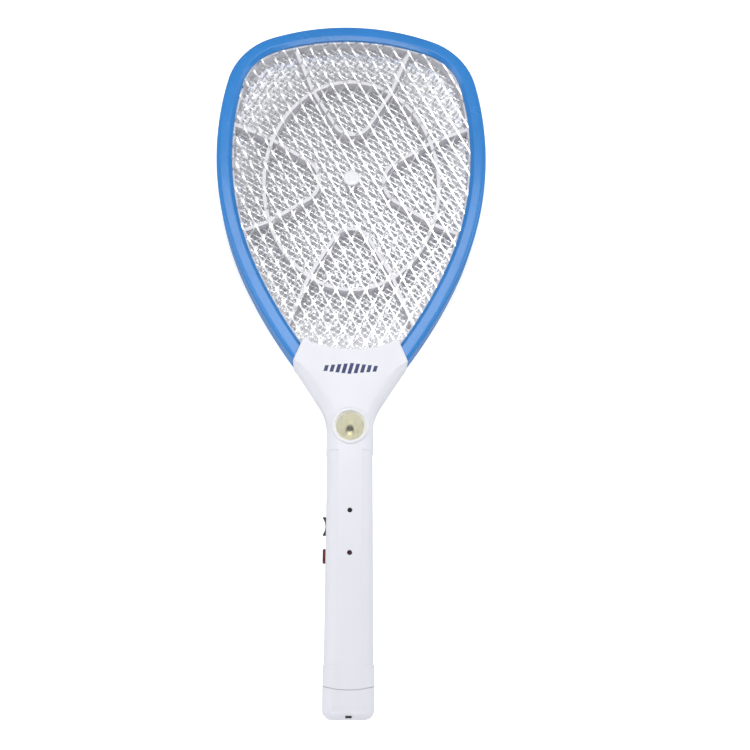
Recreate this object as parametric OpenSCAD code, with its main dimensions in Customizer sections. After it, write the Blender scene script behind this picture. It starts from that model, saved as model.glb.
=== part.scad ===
// Electric fly swatter: a racket head with three metal meshes on a battery handle.
// It lies on its back: +Z is the front face, +Y points to the head's top, and the
// origin is under the middle of the whole length. Heights called w are measured from
// the parting plane between the front and back halves.

/* [Overall] */
// Length from the top of the head to the end of the handle
length = 490; // [490:1:494]
// Thickness of the handle, front to back
handle_t = 28; // [28:0.5:30]
// Thickness of the head frame, front to back
head_t = 24; // [23.5:0.1:24]

/* [Head frame] */
// Width of the blue rim seen from the front
rim_w = 11; // [10.5:0.1:11]
// Wall thickness of the moulded shells
wall = 2; // [1.8:0.1:2]
// Radius of the rim's outer rounding
rim_round = 3; // [2:0.5:3]
// Width of the bevel along the rim's inner edge
bevel = 2.5; // [2:0.1:2.6]

/* [Net supports] */
// Width of the plastic ribs
rib_w = 2.5; // [2:0.1:3]
// Half width of the oval ring
oval_x = 62; // [60:0.5:63]
// Half height of the oval ring
oval_y = 80.5; // [79:0.5:81]
// Y of the middle of the four petals
petal_y = 122.2; // [122:0.1:122.5]
// Y of the middle of the oval ring
oval_mid = 120.7; // [120.5:0.1:121]
// Y of the rivet that holds the meshes apart
rivet_y = 124; // [123.5:0.1:124.5]

/* [Meshes] */
// Thickness of the mesh sheets
mesh_t = 0.6; // [0.5:0.1:0.6]
// Width of a guard diamond
guard_dx = 10.2; // [9.5:0.1:11]
// Height of a guard diamond
guard_dy = 18.8; // [18:0.1:20]
// Strand width of the guard meshes
guard_strand = 1.1; // [0.9:0.1:1.3]
// Width of a diamond in the centre mesh, drawn at three times the real 6.15 mm
fine_dx = 18.45; // [18:0.05:18.6]
// Height of a diamond in the centre mesh, drawn at three times the real 4.44 mm
fine_dy = 13.32; // [13:0.02:13.4]
// Strand width of the centre mesh
fine_strand = 0.6; // [0.5:0.05:0.8]

/* [Handle] */
// Half width of the handle where it meets the neck
grip_top = 15.6; // [15.4:0.1:16]
// Half width of the handle at the end cap
grip_end = 16.4; // [16.2:0.1:16.6]
// Radius of the handle's long edges
grip_round = 8; // [7.5:0.1:8]
// Depth of the moulded side panels
panel_depth = 0.4; // [0.3:0.1:0.5]
// Y of the centre of the torch
torch_y = -58; // [-58.5:0.1:-57.5]
// Y of the rocker's pivot
rocker_y = -122.9; // [-123.5:0.1:-122.5]
// Y of the push button's middle
button_y = -142.5; // [-142.7:0.1:-142.2]

/* [Motion] */
// Angle of the rocker for display
rocker_angle = 0; // [-7:1:7]
// Travel of the push button for display
button_press = 0; // [0:0.1:1.5]
// How far the end cap is pulled off for display
cap_pull = 0; // [0:1:40]

/* [Hidden] */

$fn = 48;
top_y = length / 2;
end_y = -length / 2;
z_mid = handle_t / 2;
half_h = handle_t / 2;
half_head = head_t / 2;

// Outline of the head: arcs that run on into each other, from the top down one side
arc_r = [170, 49, 232, 357];
arc_a = [20.3, 56.3, 38.7, 13.5];
arc_steps = [5, 8, 9, 5];
arc_count = len(arc_r);

// Heights inside the head, from the parting plane up
sheet_half = mesh_t / 2;
guard_top = half_head - 3.6;
guard_low = guard_top - mesh_t;
foot_top = 2.3;

// Insets from the rim's outer surface
sheet_in = 9;
hole_in = 10.4;
net_out = 9.6;
net_in = rim_w + 1;
foot_out = 3;
boss_in = 6;
frame_screw_r = 1.1;
frame_hole_r = frame_screw_r / cos(22.5);
screw_headings = [0, 33, 62, 84, 104, 119, -33, -62, -84, -104, -119];
net_low = -8.9;
net_sill = -4.1;

// Neck cover: concave upper edge, slanted sides, straight flanks, fillets into the handle
neck_arc_r = 75.5;
neck_arc_y = 71.5;
corner_r = 3;
cover_corner = [35.7, -12.4];
cover_top = [30.3, 0.6];
flank_top = [38.5, -13.8];
flank_angle = 33;
fillet_r = 34;
fillet_y = -59.3;
joint_r = 56;
joint_y = -227;
cap_corner = 6.3;
panel_top = -74.5;
panel_end = -211.2;

// Screws that hold the housings together
post_places = [[0, -36], [-9.6, -71.8], [9.6, -71.8], [9.6, -149.6], [0, -203.2]];
bridge_places = [[-11, -20.5], [11, -20.5]];

// Heading is the angle turned since the top of the head, where it is 0
function arc_start(i) = i == 0 ? 0 : arc_start(i - 1) + arc_a[i - 1];
function arc_centre(i) = i == 0
    ? [0, top_y - arc_r[0]]
    : arc_centre(i - 1) + (arc_r[i - 1] - arc_r[i]) * [sin(arc_start(i)), cos(arc_start(i))];
function arc_at(h, i = 0) =
    (i == arc_count - 1 || h <= arc_start(i + 1)) ? i : arc_at(h, i + 1);
function rim_point(h, inset) =
    let (i = arc_at(abs(h)), p = arc_centre(i) + (arc_r[i] - inset) * [sin(abs(h)), cos(h)])
    [sign(h) * p[0], p[1]];
side_headings = [for (i = [0:arc_count - 1])
    each [for (k = [1:arc_steps[i]]) arc_start(i) + arc_a[i] * k / arc_steps[i]]];
headings = concat([for (i = [len(side_headings) - 1:-1:0]) -side_headings[i]], [0], side_headings);
function rim_outline(inset) = [for (h = headings) rim_point(h, inset)];

module front() { translate([0, 0, z_mid]) children(); }
module back() { translate([0, 0, z_mid]) mirror([0, 0, 1]) children(); }
module slab(low, high) { translate([0, 0, low]) linear_extrude(high - low) children(); }

// A flat strip of one width along a list of points
function unit(v) = v / norm(v);
function strip_normal(p, i) =
    let (a = p[max(i - 1, 0)], b = p[min(i + 1, len(p) - 1)], d = unit(b - a)) [-d[1], d[0]];
module strip(p, width) {
    left = [for (i = [0:len(p) - 1]) p[i] + strip_normal(p, i) * width / 2];
    right = [for (i = [len(p) - 1:-1:0]) p[i] - strip_normal(p, i) * width / 2];
    polygon(concat(left, right));
}

// A closed solid through rings of points, each with the same count, from the lowest up
module stack(rings) {
    n = len(rings[0]);
    last = (len(rings) - 1) * n;
    sides = [for (k = [0:len(rings) - 2], i = [0:n - 1])
        [k * n + i, (k + 1) * n + i, (k + 1) * n + (i + 1) % n, k * n + (i + 1) % n]];
    low = [for (i = [0:n - 1]) i];
    high = [for (i = [n - 1:-1:0]) last + i];
    polyhedron([for (r = rings) each r], concat([low], sides, [high]), convexity = 8);
}

// The same with a second stack as its hollow, open at the bottom where the two rims meet
module bowl(outer, inner) {
    n = len(outer[0]);
    m = len(outer);
    total = m * n;
    function side(base, k, i) = [base + k * n + i, base + (k + 1) * n + i,
        base + (k + 1) * n + (i + 1) % n, base + k * n + (i + 1) % n];
    function turned(f) = [for (i = [len(f) - 1:-1:0]) f[i]];
    faces = concat(
        [for (k = [0:m - 2], i = [0:n - 1]) side(0, k, i)],
        [for (k = [0:len(inner) - 2], i = [0:n - 1]) turned(side(total, k, i))],
        [for (i = [0:n - 1]) [(i + 1) % n, total + (i + 1) % n, total + i, i]],
        [[for (i = [n - 1:-1:0]) (m - 1) * n + i],
         [for (i = [0:n - 1]) total + (len(inner) - 1) * n + i]]);
    polyhedron([for (r = concat(outer, inner)) each r], faces, convexity = 8);
}

// A round wire through the given points
function ring_around(p, d, r, sides) =
    let (u = unit(cross(d, abs(d[2]) > 0.9 * norm(d) ? [1, 0, 0] : [0, 0, 1])), v = unit(cross(u, d)))
    [for (k = [0:sides - 1]) p + r * (u * cos(k * 360 / sides) + v * sin(k * 360 / sides))];
module wire(p, r, sides = 8) {
    stack([for (i = [0:len(p) - 1])
        ring_around(p[i], p[min(i + 1, len(p) - 1)] - p[max(i - 1, 0)], r, sides)]);
}

// ---- Head ----

// Cross-section of half the frame: inset from the outer surface, and height
rim_profile = concat(
    [[wall, 0], [0.4, 0], [0, 0.4]],
    [for (a = [0:30:90])
        [rim_round * (1 - cos(a)), half_head - rim_round * (1 - sin(a))]],
    [[rim_w - bevel, half_head], [rim_w, half_head - 2.2], [rim_w, guard_top],
     [4, guard_top], [4, half_head - wall], [wall, half_head - wall]]);

// The part of the rim's outline that the neck's side walls need
module flank_cut() {
    s = [sin(flank_angle), cos(flank_angle)];
    p = flank_top + [-3 * cos(flank_angle), 3 * sin(flank_angle)];
    for (side = [0, 1]) mirror([side, 0])
        polygon([p + s * 1.4, p - 30 * s, [60, (p - 30 * s)[1]], [60, (p + s * 1.4)[1]]]);
}

module frame_half() {
    difference() {
        union() {
            stack([for (h = headings)
                [for (q = rim_profile) let (p = rim_point(h, q[0])) [p[0], p[1], q[1]]]]);
            rim_screw_places() hull() for (out = [0, 2.6]) translate([0, out, foot_top])
                cylinder(h = half_head - wall - foot_top, r = 2.5 - 0.35 * out, $fn = 8);
            slab(6, 9) translate([-29, -27]) square([58, 12]);
            bridge_screw_places() cylinder(h = 8, r = 3, $fn = 8);
        }
        slab(-1, half_head + 1) flank_cut();
        slab(9, half_head + 1) translate([-60, -60]) square([120, 60 - 13]);
    }
}

module rim_screw_places() {
    for (h = screw_headings)
        translate([rim_point(h, boss_in)[0], rim_point(h, boss_in)[1], 0]) rotate(-h) children();
}
module bridge_screw_places() {
    for (p = bridge_places) translate([p[0], p[1], 0]) children();
}

module front_frame() color([0.16, 0.50, 0.84]) front() difference() {
    frame_half();
    rim_screw_places() cylinder(h = 7.5, r = frame_hole_r, $fn = 8);
    bridge_screw_places() translate([0, 0, -1]) cylinder(h = 8, r = frame_hole_r, $fn = 8);
}

module back_frame() color([0.16, 0.50, 0.84]) difference() {
    back() frame_half();
    front() rim_screw_places() {
        translate([0, 0, -half_head - 1]) cylinder(h = half_head + 1, r = frame_hole_r, $fn = 8);
        translate([0, 0, -half_head - 1]) cylinder(h = 3, r = 2 * frame_hole_r, $fn = 8);
    }
    front() bridge_screw_places()
        translate([0, 0, -half_head - 1]) cylinder(h = half_head + 2, r = frame_hole_r, $fn = 8);
}

// A cross-headed screw that points up, with its head's seat at the origin
module screw(l, r) {
    difference() {
        union() {
            cylinder(h = l, r = r);
            translate([0, 0, -1.6]) cylinder(h = 1.6, r = 2 * r);
        }
        for (a = [0, 90]) rotate([0, 0, a]) translate([-1.2 * r, -0.25, -1.7]) cube([2.4 * r, 0.5, 0.9]);
    }
}

// Self-tapping screws, heads sunk in the back of the frame
module frame_screws() color([0.62, 0.63, 0.65]) front() {
    rim_screw_places() translate([0, 0, 2 - half_head]) screw(half_head + 4.5, frame_screw_r);
    bridge_screw_places() translate([0, 0, -9]) screw(15.5, frame_screw_r);
}

// Rib paths of one petal, from its tip to the frame on one side
function tall_petal(side) = concat(
    [for (a = [0:9:63]) [side * 14 * sin(a), 36.5 + 14 * (1 - cos(a))]],
    [[side * 28.2, 70.8], [side * 43.7, 110]]);
function wide_petal(side) = concat(
    [for (a = [0:9:63]) [22.8 + 18 * (1 - cos(a)), side * 18 * sin(a)]],
    [[58.3, side * 32.3], [88, side * 44.5]]);
function whole_petal(half, other) =
    concat([for (i = [len(other) - 1:-1:1]) other[i]], half);

module ribs_flat() {
    translate([0, petal_y]) {
        for (m = [0, 1]) mirror([0, m]) strip(whole_petal(tall_petal(1), tall_petal(-1)), rib_w);
        for (m = [0, 1]) mirror([m, 0]) strip(whole_petal(wide_petal(1), wide_petal(-1)), rib_w);
    }
    difference() {
        oval(rib_w / 2);
        oval(-rib_w / 2);
    }
}

module oval(grow) {
    translate([0, oval_mid])
        polygon([for (a = [0:5:355]) [(oval_x + grow) * cos(a), (oval_y + grow) * sin(a)]]);
}

// The head's area inside the rim, down to a straight lower edge inside the neck
module net_region(inset, low = net_low) {
    difference() {
        polygon(rim_outline(inset));
        translate([-60, low - 60]) square([120, 60]);
    }
}

// One plastic net support: outer wall with a foot, oval ring and four petals
module spider_half() {
    slab(sheet_half, guard_low) intersection() {
        net_region(net_out + 0.5);
        ribs_flat();
    }
    slab(sheet_half, guard_low) difference() {
        net_region(net_out);
        net_region(net_in, net_sill);
    }
    slab(sheet_half, foot_top) difference() {
        net_region(foot_out);
        net_region(net_in - 0.6, net_sill);
        rim_screw_places() circle(r = 1.4);
    }
}

module lead_notch() {
    translate([10.4, -12, sheet_half - 1]) cube([4.2, 12, 3.6]);
}

module front_spider() color([0.93, 0.93, 0.95]) front() difference() {
    spider_half();
    lead_notch();
}
module back_spider() color([0.93, 0.93, 0.95]) back() spider_half();

// Diamond holes of an expanded sheet, one of them centred on the rivet
module diamonds(dx, dy, strand, turn = 0) {
    half = norm([dx, dy]) / 2;
    rx = dx / 2 - strand * half / dy;
    ry = dy / 2 - strand * half / dx;
    columns = ceil(205 / dx);
    rows = ceil(265 / dy);
    translate([0, rivet_y]) rotate(turn)
        for (i = [-columns:columns], j = [-rows:rows])
            if ((i + j) % 2 == 0 && in_head([i * dx / 2, j * dy / 2], max(dx, dy), turn))
                translate([i * dx / 2, j * dy / 2])
                    polygon([[rx, 0], [0, ry], [-rx, 0], [0, -ry]]);
}

// True where a diamond can reach the open part of the head
function in_head(p, reach, turn) =
    let (x = p[0] * cos(turn) - p[1] * sin(turn), y = p[0] * sin(turn) + p[1] * cos(turn))
    y < 120 + reach && y > -130 - reach && abs(x) < 86 + reach
        && (y > -10 || abs(x) < 88 + reach - (-10 - y) * 0.42);

module mesh_flat(dx, dy, strand, turn) {
    difference() {
        net_region(sheet_in);
        intersection() {
            net_region(hole_in, net_sill - 1.4);
            diamonds(dx, dy, strand, turn);
        }
        translate([0, rivet_y]) circle(r = 2.3);
    }
}

module front_guard_mesh() color([0.86, 0.87, 0.88]) front()
    slab(guard_low, guard_top) mesh_flat(guard_dx, guard_dy, guard_strand, 0);
module back_guard_mesh() color([0.86, 0.87, 0.88]) back()
    slab(guard_low, guard_top) mesh_flat(guard_dx, guard_dy, guard_strand, 0);
module hv_mesh() color([0.72, 0.73, 0.75]) front()
    slab(-sheet_half, sheet_half) mesh_flat(fine_dx, fine_dy, fine_strand, 5);

// Button rivet through the middle of the three meshes
module centre_rivet() color([0.97, 0.97, 0.98]) translate([0, rivet_y, z_mid]) {
    translate([0, 0, guard_top]) cylinder(h = 1, r = 5.9);
    translate([0, 0, guard_top + 1]) cylinder(h = 0.5, r1 = 5.9, r2 = 5.2);
    translate([0, 0, -guard_top - 0.6]) cylinder(h = 2 * guard_top + 0.6, r = 2.1);
}
module centre_rivet_cap() color([0.97, 0.97, 0.98])
    translate([0, rivet_y, z_mid]) mirror([0, 0, 1]) difference() {
        union() {
            translate([0, 0, guard_top]) cylinder(h = 1, r = 5.9);
            translate([0, 0, guard_top + 1]) cylinder(h = 0.5, r1 = 5.9, r2 = 5.2);
        }
        translate([0, 0, guard_top - 1]) cylinder(h = 1.6, r = 2.1);
    }
module centre_spacers() color([0.93, 0.93, 0.95]) translate([0, rivet_y, z_mid])
    for (m = [0, 1]) mirror([0, 0, m]) translate([0, 0, sheet_half]) difference() {
        cylinder(h = guard_low - sheet_half, r = 4.2);
        translate([0, 0, -1]) cylinder(h = guard_low + 2, r = 2.1);
    }

// Solder tabs on the lower edges of the three meshes
contact_x = [-14, 12.5, -9];
contact_w = [guard_low + 0.1, -0.2, -guard_top + 0.1];
tab_end = net_low - 4;
module mesh_contacts() color([0.80, 0.66, 0.35]) front()
    for (i = [0:2]) slab(contact_w[i], contact_w[i] + 0.4)
        translate([contact_x[i] - 2, tab_end]) square([4, 4]);

// ---- Neck and handle shell ----

// Outline of one side from the cap's end up to the neck's upper edge. Each point has
// its outward direction, how much of the edge rounding it takes, and the panel's depth.
function wall_x(y) = grip_top + (grip_end - grip_top) * (fillet_y - y) / (fillet_y + 225);
function side_points() = concat(
    [for (x = [0, 5]) [x, end_y + 0.05 * x / 5, 0, -1, 0.7, 0]],
    [for (a = [0:18:90])
        [grip_end - cap_corner * (1 - sin(a)), end_y + 0.1 + cap_corner * (1 - cos(a)),
         sin(a), -cos(a), 0.7, 0]],
    [[grip_end, joint_y, 1, 0, 1, 0],
     [wall_x(panel_end - 0.5), panel_end - 0.5, 1, 0, 1, 0],
     [wall_x(panel_end), panel_end, 1, 0, 1, 1],
     [wall_x(-143), -143, 1, 0, 1, 1],
     [wall_x(panel_top), panel_top, 1, 0, 1, 1],
     [wall_x(panel_top + 0.5), panel_top + 0.5, 1, 0, 1, 0]],
    [for (a = [0:8.25:flank_angle])
        [grip_top + fillet_r * (1 - cos(a)), fillet_y + fillet_r * sin(a), cos(a), -sin(a),
         1 - 0.25 * a / flank_angle, 0]],
    [for (s = [12, 6, 2]) [
        flank_top[0] - s * sin(flank_angle), flank_top[1] - s * cos(flank_angle),
        cos(flank_angle), -sin(flank_angle), s == 12 ? 0.7 : s == 6 ? 0.5 : 0.25, 0]],
    corner_points(cover_corner, -24, 12, 18),
    corner_points(cover_top, 22, 102, 20),
    [for (k = [4:-1:0]) let (a = 21 * k / 4)
        [neck_arc_r * sin(a), neck_arc_y - neck_arc_r * cos(a), -sin(a), cos(a), 0.1, 0]]);
function corner_points(c, from, to, step) =
    [for (a = [from:step:to]) [c[0] + corner_r * cos(a), c[1] + corner_r * sin(a), cos(a), sin(a), 0.1, 0]];

// Height, inward step, and the share of the panel's depth for each ring of the shell
function shell_levels(r) = concat(
    [[0, 0, 0, 1], [half_h - grip_round, 0, 0, 1]],
    [for (a = [30, 60])
        [half_h - grip_round + r * sin(a), r * (1 - cos(a)), sin(a), cos(a)]],
    [[half_h - grip_round + r, r, 0, 0]]);

function shell_ring(level, inset) = let (
        side = side_points(),
        one = [for (q = side)
            let (in = inset + q[4] * level[1] + q[5] * panel_depth * level[3])
            [max(q[0] - in * q[2], 0), q[1] - in * q[3],
             level[0] - q[5] * panel_depth * level[2]]],
        n = len(one))
    concat(one, [for (i = [n - 2:-1:1]) [-one[i][0], one[i][1], one[i][2]]]);

// Rings of half the shell's outer or inner form: inset is the distance under the outside
function shell_rings(inset) =
    [for (l = shell_levels(grip_round - inset)) shell_ring(l, inset)];

// Everything past the curved joint, which belongs to the end cap
joint_arc = [for (x = [-20:2:20]) [x, joint_y + joint_r - sqrt(joint_r * joint_r - x * x)]];
module past_joint() {
    polygon(concat([[-20, end_y - 20]], joint_arc, [[20, end_y - 20]]));
}
module short_of_joint(gap) {
    low = joint_arc[0][1];
    translate([0, -gap])
        polygon(concat([[-60, top_y], [-60, low]], joint_arc, [[60, low], [60, top_y]]));
}

module rocker_notch() {
    translate([-20, rocker_y - 6.8, -1]) cube([9, 13.6, 4.6]);
}
module button_notch() {
    translate([-20, button_y - 4.9, -1]) cube([9, 9.8, 4.2]);
}

// The lower end of the head's outline, which the rim's two arms fill
module arm_region(inset) {
    low = [for (h = headings) if (abs(h) > 105) rim_point(h, inset)];
    difference() {
        polygon(low);
        translate([-60, -60 - 16]) square([120, 60]);
    }
}

module housing_half() {
    difference() {
        bowl(shell_rings(0), shell_rings(wall));
        slab(-1, half_h + 1) past_joint();
        // Room for the rim's arms and for the stack of meshes and net supports
        slab(-1, half_head) difference() {
            arm_region(0);
            net_region(rim_w, -40);
            flank_cut();
        }
        slab(-1, guard_top) net_region(sheet_in - 0.4, -10);
        rocker_notch();
        button_notch();
    }
}

// A screw post with a small cross of gussets where it meets the wall
module screw_post() {
    cylinder(h = half_h - wall, r = 2.7, $fn = 20);
    for (turn = [0, 90]) rotate(turn) hull() {
        translate([-3.1, -0.6, half_h - wall - 0.4]) cube([6.2, 1.2, 0.4]);
        translate([-2.6, -0.6, 8]) cube([5.2, 1.2, 0.4]);
    }
}

module post_screw_places() {
    for (p = post_places) translate([p[0], p[1], 0]) children();
}

torch_hole = 12.35;
led_places = [-114.3, -141.8];
led_r = 1.5;

module front_housing() color([0.95, 0.95, 0.97]) front() difference() {
    union() {
        housing_half();
        post_screw_places() screw_post();
    }
    translate([0, torch_y, 0]) cylinder(h = 20, r = torch_hole);
    for (y = led_places) translate([0, y, 0]) cylinder(h = 20, r = led_r);
    post_screw_places() translate([0, 0, -1]) cylinder(h = 8.5, r = 1.02, $fn = 20);
}

module back_housing() color([0.95, 0.95, 0.97]) difference() {
    back() union() {
        housing_half();
        post_screw_places() screw_post();
    }
    front() post_screw_places() translate([0, 0, -half_h - 1]) {
        cylinder(h = half_h + 2, r = 1.02, $fn = 20);
        cylinder(h = 6, r = 2.05, $fn = 20);
    }
}

module housing_screws() color([0.62, 0.63, 0.65]) front() post_screw_places()
    translate([0, 0, 5 - half_h]) screw(half_h + 1.5, 1);

// ---- End cap and charging plug ----
cap_floor = end_y + 3;
module crush_rib() hull() {
    translate([-0.6, -7, 0]) cube([1.2, 7, 0.2]);
    translate([-0.2, -6, -1]) cube([0.4, 5, 0.2]);
}

module end_cap() color([0.94, 0.94, 0.96]) translate([0, -cap_pull, z_mid]) {
    // Ribs in the pocket that centre the cap on the plug's base
    for (turn = [0, 180], x = [-5, 5])
        rotate([0, turn, 0]) translate([x, joint_y - 1, 12]) crush_rib();
    for (turn = [90, 270], x = [-4, 4])
        rotate([0, turn, 0]) translate([x, joint_y - 1, 14]) crush_rib();
    cap_shell();
}

module cap_shell() difference() {
    union() for (m = [0, 1]) mirror([0, 0, m]) stack(shell_rings(0));
    slab(-half_h - 1, half_h + 1) short_of_joint(0.25);
    translate([0, cap_floor + 30, 0]) rotate([90, 0, 0]) linear_extrude(30) {
        square([28, 16], center = true);
        square([20, 24], center = true);
        for (x = [-10, 10], w = [-8, 8]) translate([x, w]) circle(r = 4, $fn = 12);
    }
    // Finger slot at the end of the front face
    translate([-2, end_y + 1, half_h - 7]) cube([4, 1.5, 8]);
}

plug_low = joint_y - 2;
module plug_base() color([0.92, 0.92, 0.94]) front() difference() {
    union() {
        translate([-12.2, -222, -10.4]) cube([24.4, 15.4, 20.8]);
        translate([-7, -214, wall - half_h]) cube([14, 2, 2 * (half_h - wall)]);
        translate([-12.2, plug_low, -9.4]) cube([24.4, -222 - plug_low, 18.8]);
    }
    translate([-9, -215, -6]) cube([18, 9, 12]);
    for (x = [-6.35, 6.35]) translate([x - 0.75, plug_low - 1, -3.15]) cube([1.5, 30, 6.3]);
}

module plug_pins() color([0.82, 0.72, 0.42]) front()
    for (x = [-6.35, 6.35]) translate([x - 0.75, plug_low - 12, -3.15]) difference() {
        cube([1.5, 26 + 6, 6.3]);
        translate([-1, 3.2, 3.15]) rotate([0, 90, 0]) cylinder(h = 4, r = 1.5);
    }

// ---- Rocker switch on the left edge ----
pivot_x = -11.6;
pin_r = 0.8;
module rocker() color([0.06, 0.06, 0.07])
    translate([pivot_x, rocker_y, z_mid]) rotate([0, 0, rocker_angle]) difference() {
        slab(-3.3, 3.3) polygon(concat(
            [for (v = [-5.9:0.59:5.91]) [-4 - 1.8 * pow(v / 5.9, 2), v]],
            [[-0.5, 5.5], [2.4, 2.2], [2.4, -2.2], [-0.5, -5.5]]));
        translate([0, 0, -4]) cylinder(h = 8, r = pin_r + 0.05);
    }

module rocker_pin() color([0.75, 0.75, 0.78])
    translate([pivot_x, rocker_y, z_mid - 4.7]) cylinder(h = 9.4, r = pin_r);

module rocker_switch_body() color([0.12, 0.12, 0.13]) translate([0, rocker_y, z_mid]) difference() {
    union() {
        translate([-13.2, -8, -4.8]) cube([8, 16, 9.6]);
        for (y = [-4.5, 0, 4.5]) translate([-9, y - 0.4, -6]) cube([1.5, 0.8, 1.3]);
    }
    translate([-14, -6.8, -3.6]) cube([5.8, 13.6, 7.2]);
    translate([pivot_x, 0, -6]) cylinder(h = 12, r = pin_r);
}

// ---- Push button on the left edge ----
module push_button() color([0.55, 0.07, 0.10]) translate([button_press, button_y, z_mid]) {
    translate([-12.8, 0, 0]) rotate([0, -90, 0]) linear_extrude(4.1) {
        square([5.8, 7.2], center = true);
        square([3.8, 9.2], center = true);
        for (w = [-1.9, 1.9], y = [-3.6, 3.6]) translate([w, y]) circle(r = 1);
    }
    translate([-17.3, 0, 0]) rotate([0, 90, 0]) linear_extrude(0.5) {
        square([4.8, 7.2], center = true);
        square([3.8, 8.2], center = true);
    }
    translate([-13.1, -5.4, -3.5]) cube([0.9, 10.8, 7]);
}

spring_low = -12.2;
spring_high = -8.6;
module button_spring() color([0.78, 0.79, 0.80]) translate([0, button_y, z_mid]) {
    turns = 4;
    wire([for (k = [0:turns * 10])
        [spring_low + 0.25 + (spring_high - spring_low - 0.5) * k / (turns * 10),
         2.3 * cos(k * 36), 2.3 * sin(k * 36)]], 0.22, 6);
}

module button_switch() color([0.14, 0.14, 0.15]) translate([0, button_y, z_mid]) {
    translate([spring_high, -3.1, -3.1]) cube([3.6, 6.2, 6.2]);
    translate([-10.4, 0, 0]) rotate([0, 90, 0]) cylinder(h = 2, r = 1.3);
    for (y = [-2.4, 1.8]) translate([-7.5, y, -6]) cube([1, 0.6, 3]);
}

// ---- Torch on the neck ----
module torch_bezel() color([0.97, 0.97, 0.98]) translate([0, torch_y, z_mid + half_h])
    rotate_extrude() polygon([[9.9, -5], [12.2, -5], [12.2, 0.5], [11.9, 1.1], [11.2, 1.4],
        [10.3, 1.2], [9.9, 0.7]]);

module torch_lens() color([0.95, 0.97, 1, 0.4]) translate([0, torch_y, z_mid + half_h])
    rotate_extrude() polygon([[0, -0.7], [9.9, -0.7], [9.9, 0.2], [8, 0.5], [5, 0.8], [0, 0.95]]);

module torch_reflector() color([0.90, 0.88, 0.72]) translate([0, torch_y, z_mid])
    rotate_extrude() polygon(concat(
        [for (k = [0:8]) [2.8 + 6.7 * sqrt(k / 8), 1.5 + 11.6 * k / 8]],
        [[9.9, 13.1], [9.9, 12.2]],
        [for (k = [7:-1:0]) [3.6 + 6.3 * sqrt(k / 8), 1.5 + 11.6 * k / 8 - 0.6 * k / 8]]));

module torch_led() color([0.98, 0.93, 0.55]) translate([0, torch_y, z_mid + 1.5]) {
    cylinder(h = 4.6, r = 2.4);
    translate([0, 0, 4.6]) sphere(r = 2.4);
    for (x = [-1.27, 1.27]) translate([x, 0, -5]) cylinder(h = 5, r = 0.3);
}

// ---- Indicators ----
board_top = -6;
board_low = board_top - 1.6;
module indicator(y) translate([0, y, z_mid]) {
    translate([0, 0, half_h - 5.5]) cylinder(h = 4.6, r = led_r);
    translate([0, 0, half_h - 0.9]) sphere(r = led_r);
    for (x = [-0.8, 0.8]) translate([x, 0, board_low - 0.6])
        cylinder(h = half_h - 5.5 - board_low + 0.6, r = 0.25);
}
module power_led() color([0.30, 0.04, 0.05]) indicator(led_places[0]);
module charge_led() color([0.62, 0.06, 0.10]) indicator(led_places[1]);

// ---- Electronics ----
board_top_y = -80.5;
board_end_y = -145.5;
module circuit_board() color([0.10, 0.42, 0.22]) front() difference() {
    slab(board_low, board_top) translate([-11.8, board_end_y]) square([23.6, 65]);
    for (y = led_places, x = [-0.8, 0.8]) translate([x, y, -10]) cylinder(h = 6, r = 0.25);
}

module transformer_core() color([0.22, 0.22, 0.23]) translate([3.6, -92, z_mid]) difference() {
    slab(board_top, board_top + 11) square([13, 13], center = true);
    for (m = [0, 1]) mirror([0, m, 0])
        translate([-7, 1.8, board_top + 2.5]) cube([14, 3, 6]);
}
module transformer_winding() color([0.78, 0.55, 0.16]) translate([3.6, -92, z_mid])
    for (m = [0, 1]) mirror([0, m, 0])
        translate([-6.3, 1.9, board_top + 2.6]) cube([12.6, 2.8, 5.8]);

module hv_capacitor() color([0.62, 0.13, 0.08]) translate([-7.6, -92, z_mid]) {
    slab(board_top + 0.4, board_top + 9.4) {
        square([5, 9], center = true);
        for (y = [-4.5, 4.5]) translate([0, y]) circle(r = 2.5);
    }
    for (y = [-4, 4]) translate([0, y, board_top]) cylinder(h = 0.4, r = 0.35);
}

module charge_capacitor() color([0.85, 0.70, 0.15]) translate([5, -104.5, z_mid])
    slab(board_top, board_top + 8) square([11, 5], center = true);

// Parts with a lead at each end, lying across the board
module axial(y, r, l) {
    translate([5.2 - l / 2, y, z_mid + board_top + r]) rotate([0, 90, 0]) cylinder(h = l, r = r);
    translate([5.2 - l / 2 - 1.2, y, z_mid + board_top + r]) rotate([0, 90, 0])
        cylinder(h = l + 2.4, r = 0.3);
}
module diodes() color([0.08, 0.08, 0.09]) for (k = [0:3]) axial(-111 - 4 * k, 1.3, 5);
module resistors() color([0.78, 0.68, 0.50]) for (k = [0:2]) axial(-127.5 - 3.6 * k, 1.1, 6);

module transistor() color([0.09, 0.09, 0.10]) translate([6.5, -140.5, z_mid]) {
    slab(board_top + 2, board_top + 6.6) difference() {
        circle(r = 2.4);
        translate([-3, 1.4]) square([6, 3]);
    }
    for (x = [-1.3, 0, 1.3]) translate([x, 0, board_top]) cylinder(h = 2, r = 0.25);
}

battery_end = -200;
battery_len = 46.5;
module battery() color([0.20, 0.21, 0.23]) front() difference() {
    translate([-11.8, battery_end, -9.5]) cube([23.6, battery_len, 15.5]);
    translate([-12, battery_end + 40, -10]) cube([0.6, 0.6, 17]);
    translate([11.4, battery_end + 40, -10]) cube([0.6, 0.6, 17]);
}
module battery_terminals() color([0.80, 0.80, 0.78]) front()
    for (x = [-9, -1.2]) translate([x, battery_end + battery_len, 0]) cube([3, 1.2, 4]);

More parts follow.
